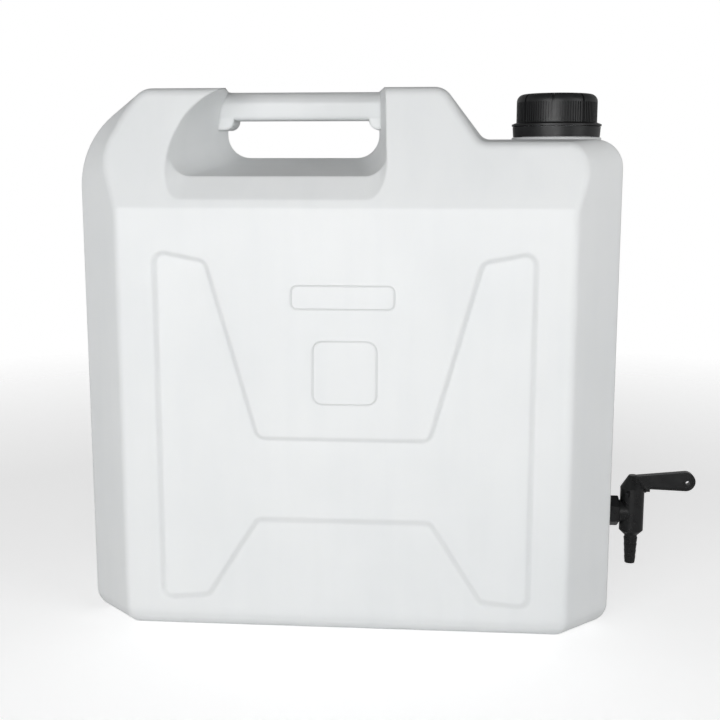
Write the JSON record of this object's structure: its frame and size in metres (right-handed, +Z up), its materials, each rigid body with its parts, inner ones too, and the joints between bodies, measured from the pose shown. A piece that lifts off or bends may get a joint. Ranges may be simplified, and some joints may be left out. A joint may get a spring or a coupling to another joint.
{
  "type": "carboy with spigot",
  "caption": "Upright plastic carboy with moulded-in carrying handle, ribbed screw cap and a lever tap with hose tail low on one side.",
  "frame": {"origin": "centre of the canister's base, on the surface it stands on", "axes": "+X along the canister's width towards the tap, -Y out of the front face, +Z up"},
  "size_m": [0.4609, 0.168, 0.395],
  "materials": {
    "body_plastic": "satin natural white polyethylene, blow moulded",
    "cap_plastic": "satin black polypropylene, injection moulded",
    "liner_foam": "off-white sealing foam",
    "washer_rubber": "black sealing rubber",
    "tap_plastic": "black plastic with a soft shine"
  },
  "bodies": {
    "vessel": {"canister_body": "body_plastic", "tamper_ring": "cap_plastic", "tap_washer": "washer_rubber", "tap_body": "tap_plastic"},
    "seal": {"cap_liner": "liner_foam"},
    "cap": {"screw_cap": "cap_plastic"},
    "lever": {"tap_lever": "tap_plastic"}
  },
  "joints": [
    {"name": "cap_rise", "type": "slide", "parent": "vessel", "child": "seal", "axis": [0, 0, 1], "range_m": [0, 0.006]},
    {"name": "cap_turn", "type": "hinge", "parent": "seal", "child": "cap", "pos_m": [0.152, 0, 0.38], "axis": [0, 0, 1], "range_deg": [0, 540]},
    {"name": "lever_turn", "type": "hinge", "parent": "vessel", "child": "lever", "pos_m": [0.2185, 0, 0.092], "axis": [0, 0, -1], "range_deg": [0, 90]}
  ],
  "couplings": [
    {"joint": "cap_turn", "follows": "cap_rise", "rad_per_m": 1570.8}
  ]
}
